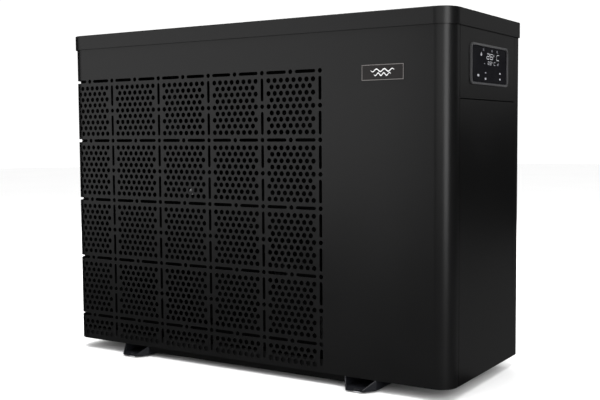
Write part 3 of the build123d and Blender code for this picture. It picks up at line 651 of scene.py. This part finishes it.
def onGlass(across, down):
    # a place on the glass, as fractions from its front top corner, in millimetres from there
    return np.array([across * (glassHigh.y - glassLow.y), -down * (glassHigh.z - glassLow.z)]) / mm


def glassPiece(name, shapes, material):
    points, faces = prisms(shapes, screen["gap"], screen["lift"])
    corner = np.array([glassHigh.x, glassLow.y, glassHigh.z]) / mm
    verts = corner + points[:, [2, 0, 1]]
    meshPiece(name, verts * mm, faces, material)


def makeDisplayMarks():
    across, down, width, height = screen["digits"]
    bright = figureShapes("26oC", onGlass(across, down), width, height, screen["digitStep"], screen["stroke"])
    glassPiece("displayDigits", bright, litWhite)
    across, down, width, height = screen["lower"]
    lowerCorner = onGlass(across, down)
    middle = figureShapes("28oC", lowerCorner, width, height, screen["lowerStep"], screen["lowerStroke"])
    glassPiece("displayLowerDigits", middle, litMiddle)
    keys = [roundShape(onGlass(*place), width, height) for place, width, height in screen["keys"]]
    glassPiece("displayKeys", keys, litMiddle)
    half, lean = screen["crossHalf"]
    icons = []
    for across in screen["crossesAcross"]:
        centre = onGlass(across, screen["crossesDown"])
        for rise in (-lean, lean):
            icons.append(barShape(centre + [-half, rise], centre + [half, -rise], screen["stroke"]))
    icons += [roundShape(onGlass(*place), width, height) for place, width, height in screen["dots"]]
    icons.append(onGlass(*screen["wedge"]) + np.array([[0, 0], [1, 0], [1, 1]]) * screen["wedgeSize"])
    glassPiece("displayIcons", icons, litDim)
    outline = np.array([[0.0, 4.6], [-3.6, 0.4], [-4.2, -1.6], [-2.4, -3.6],
                        [0.0, -4.2], [2.4, -3.6], [4.2, -1.6], [3.6, 0.4]])
    glassPiece("displayDrop", [onGlass(*screen["drop"]) + screen["dropSize"] * outline], litMiddle)


makeDisplayMarks()
print("display marks made")


plateLow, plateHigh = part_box("nameplate")
plate = {"line": 1.1, "lift": 0.25, "waveWidth": 44.0, "waveHeight": 2.2, "waveStroke": 2.0, "waves": 3,
         "taper": 0.92, "steps": 60, "waveLines": ((3.2, 0.5), (-3.4, 0.36))}


def rectangle(left, right, low, high):
    return np.array([[left, low], [right, low], [right, high], [left, high]])


def makeNameplate():
    # a raised line round the edge, and two level wavy lines whose height is a sine of the place along them
    centre = (plateLow + plateHigh) / 2 / mm
    wide, tall = (plateHigh.x - plateLow.x) / mm / 2, (plateHigh.z - plateLow.z) / mm / 2
    line = plate["line"]
    rim = [rectangle(-wide, wide, -tall, line - tall), rectangle(-wide, wide, tall - line, tall),
           rectangle(-wide, line - wide, line - tall, tall - line),
           rectangle(wide - line, wide, line - tall, tall - line)]
    along = np.linspace(-1, 1, plate["steps"])
    waves = []
    for level, reach in plate["waveLines"]:
        x = along * plate["waveWidth"] * reach
        z = level + plate["waveHeight"] * np.sin(along * np.pi * plate["waves"])
        taper = plate["waveStroke"] / 2 * np.sqrt(1 - plate["taper"] * along ** 4)
        waves.append(np.concatenate([np.c_[x, z - taper], np.c_[x, z + taper][::-1]]))
    for name, shapes, material in (("nameplateLine", rim, plateLine), ("nameplateWaves", waves, plateMark)):
        points, faces = prisms(shapes, 0.0, plate["lift"])
        corner = np.array([centre.x, plateLow.y / mm, centre.z])
        verts = corner + points[:, [0, 2, 1]] * [1, -1, 1]
        meshPiece(name, verts * mm, faces, material)


makeNameplate()
print("nameplate made")


coilLow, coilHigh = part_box("evaporator_fins")
coil = {"thickness": 38.0, "bend": 60.0, "pitch": 3.4, "fin": 1.3, "groove": 5.0, "edge": 0.01}


def makeFinnedCoil():
    # plan: the coil's middle line is the back run, a bend and the side run; the outline beside it steps
    # out for a fin's width and in by the groove's depth for the rest of each pitch
    halfThick = coil["thickness"] / 2
    low, high = coilLow / mm, coilHigh / mm
    cornerX, cornerY = low.x + halfThick + coil["bend"], high.y - halfThick - coil["bend"]
    backRun = high.x - cornerX
    bendLength = math.pi / 2 * coil["bend"]
    sideRun = cornerY - low.y
    total = backRun + bendLength + sideRun
    count = int(total // coil["pitch"])
    starts = (np.arange(count) + 0.5) * total / count
    halfFin = coil["fin"] / 2
    offsets = [-halfFin - coil["edge"], -halfFin, halfFin, halfFin + coil["edge"]]
    along = (starts[:, None] + offsets).ravel()
    out = np.tile([0.0, 1.0, 1.0, 0.0], count)
    along, out = np.r_[0.0, along, total], np.r_[0.0, out, 0.0]
    turn = np.clip((along - backRun) / coil["bend"], 0, math.pi / 2)
    x = np.where(along < backRun, high.x - along, cornerX - coil["bend"] * np.sin(turn))
    y = np.where(along < backRun, high.y - halfThick, cornerY + coil["bend"] * np.cos(turn))
    y = y - np.maximum(along - backRun - bendLength, 0)
    normal = np.stack([-np.sin(turn), np.cos(turn)], axis=1)
    reach = (halfThick - coil["groove"] * (1 - out))[:, None]
    middle = np.stack([x, y], axis=1)
    outer, inner = middle + normal * reach, middle - normal * reach
    plan = np.stack([outer, inner], axis=1)
    rows = len(plan)
    verts = np.concatenate([np.c_[plan.reshape(-1, 2), np.full(2 * rows, z)] for z in (low.z, high.z)])
    step = np.arange(rows - 1)
    outerLow, innerLow = 2 * step, 2 * step + 1
    outerNext, innerNext = outerLow + 2, innerLow + 2
    up = 2 * rows
    faces = np.concatenate([
        np.stack([outerNext, outerLow, outerLow + up, outerNext + up], axis=1),
        np.stack([innerLow, innerNext, innerNext + up, innerLow + up], axis=1),
        np.stack([outerLow, outerNext, innerNext, innerLow], axis=1),
        np.stack([outerNext + up, outerLow + up, innerLow + up, innerNext + up], axis=1),
    ]).tolist()
    faces.append([0, 1, 1 + up, up])
    last = 2 * (rows - 1)
    faces.append([last + 1, last, last + up, last + 1 + up])
    piece = meshPiece("finnedCoil", verts * mm, faces, finMetal, smoothAngle=20.0)
    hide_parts("evaporator_fins")
    print("finned coil", count, "fins, open edges", openEdges(piece.data))


makeFinnedCoil()


view = {"aside": 1.0390, "height": 0.4407, "away": 1.4145, "turn": 32.57, "tilt": -3.96, "roll": -0.42,
        "focal": 57.08, "sensor": 36.0}


def makeCamera():
    data = bpy.data.cameras.new("camera")
    data.sensor_width = view["sensor"]
    data.lens = view["focal"]
    camera = bpy.data.objects.new("camera", data)
    turn = Matrix.Rotation(math.radians(view["turn"]), 4, "Z")
    tilt = Matrix.Rotation(math.radians(90 + view["tilt"]), 4, "X")
    roll = Matrix.Rotation(math.radians(view["roll"]), 4, "Z")
    place = Matrix.Translation((view["aside"], frontY - view["away"], view["height"]))
    camera.matrix_world = place @ turn @ tilt @ roll
    bpy.context.scene.collection.objects.link(camera)
    bpy.context.scene.camera = camera


# softboxes: place, the point they face, width, height and power in watts
studio = {
    "world": 1.1, "floor": 0.92, "floorReach": 12.0, "floorSides": 48, "floorVary": 0.01,
    "boxes": {
        "frontSoftbox": ((-1.45, -1.95, 0.72), (0.0, -0.17, 0.42), 2.4, 1.3, 9.0),
        "fillSoftbox": ((0.98, -2.28, 0.85), (0.40, -0.15, 0.40), 1.7, 1.2, 5.0),
        "cornerSoftbox": ((1.92, -1.14, 0.85), (0.42, -0.15, 0.42), 0.9, 1.5, 15.0),
        "sideSoftbox": ((1.35, 1.9, 0.95), (0.42, 0.0, 0.55), 0.9, 0.8, 0.55),
        "sideFloor": ((0.90, 1.10, 0.004), (0.90, 1.10, 1.0), 0.95, 2.2, 0.7),
        "topSoftbox": ((0.0, -0.4, 2.6), (0.0, 0.0, 0.6), 2.2, 1.6, 60.0),
        "backSoftbox": ((-1.2, 2.4, 1.3), (0.0, 0.14, 0.35), 1.8, 1.4, 70.0),
    },
}


def softbox(name, place, target, width, height, power):
    data = bpy.data.lights.new(name, "AREA")
    data.shape = "RECTANGLE"
    data.size, data.size_y = width, height
    data.energy = power
    light = bpy.data.objects.new(name, data)
    light.location = place
    light.rotation_euler = (Vector(target) - Vector(place)).to_track_quat("-Z", "Y").to_euler()
    light.visible_camera = False
    bpy.context.scene.collection.objects.link(light)


def makeStudio():
    world = bpy.data.worlds.new("studio")
    world.use_nodes = True
    world.node_tree.nodes["Background"].inputs["Color"].default_value = (1.0, 1.0, 1.0, 1.0)
    world.node_tree.nodes["Background"].inputs["Strength"].default_value = studio["world"]
    world.cycles_visibility.glossy = False  # the paint mirrors the softboxes only
    bpy.context.scene.world = world
    turn = np.linspace(0, 2 * np.pi, studio["floorSides"], endpoint=False)
    verts = studio["floorReach"] * np.stack([np.cos(turn), np.sin(turn), 0 * turn], axis=1)
    mesh = bpy.data.meshes.new("floor")
    mesh.from_pydata(verts.tolist(), [], [list(range(studio["floorSides"]))])
    floor = bpy.data.objects.new("floor", mesh)
    bpy.context.scene.collection.objects.link(floor)
    floor.visible_glossy = False
    paper = newMaterial("floorPaper", shade(studio["floor"]), 0.9, specular=0.1)
    darker = shade(studio["floor"] - studio["floorVary"])
    varyColour(paper, patternOf(paper, 1.5), darker, shade(studio["floor"]))
    mesh.materials.append(paper)
    for name, values in studio["boxes"].items():
        softbox(name, *values)


makeCamera()
makeStudio()
bpy.context.scene.view_settings.view_transform = "Standard"
print("camera, floor and light set")
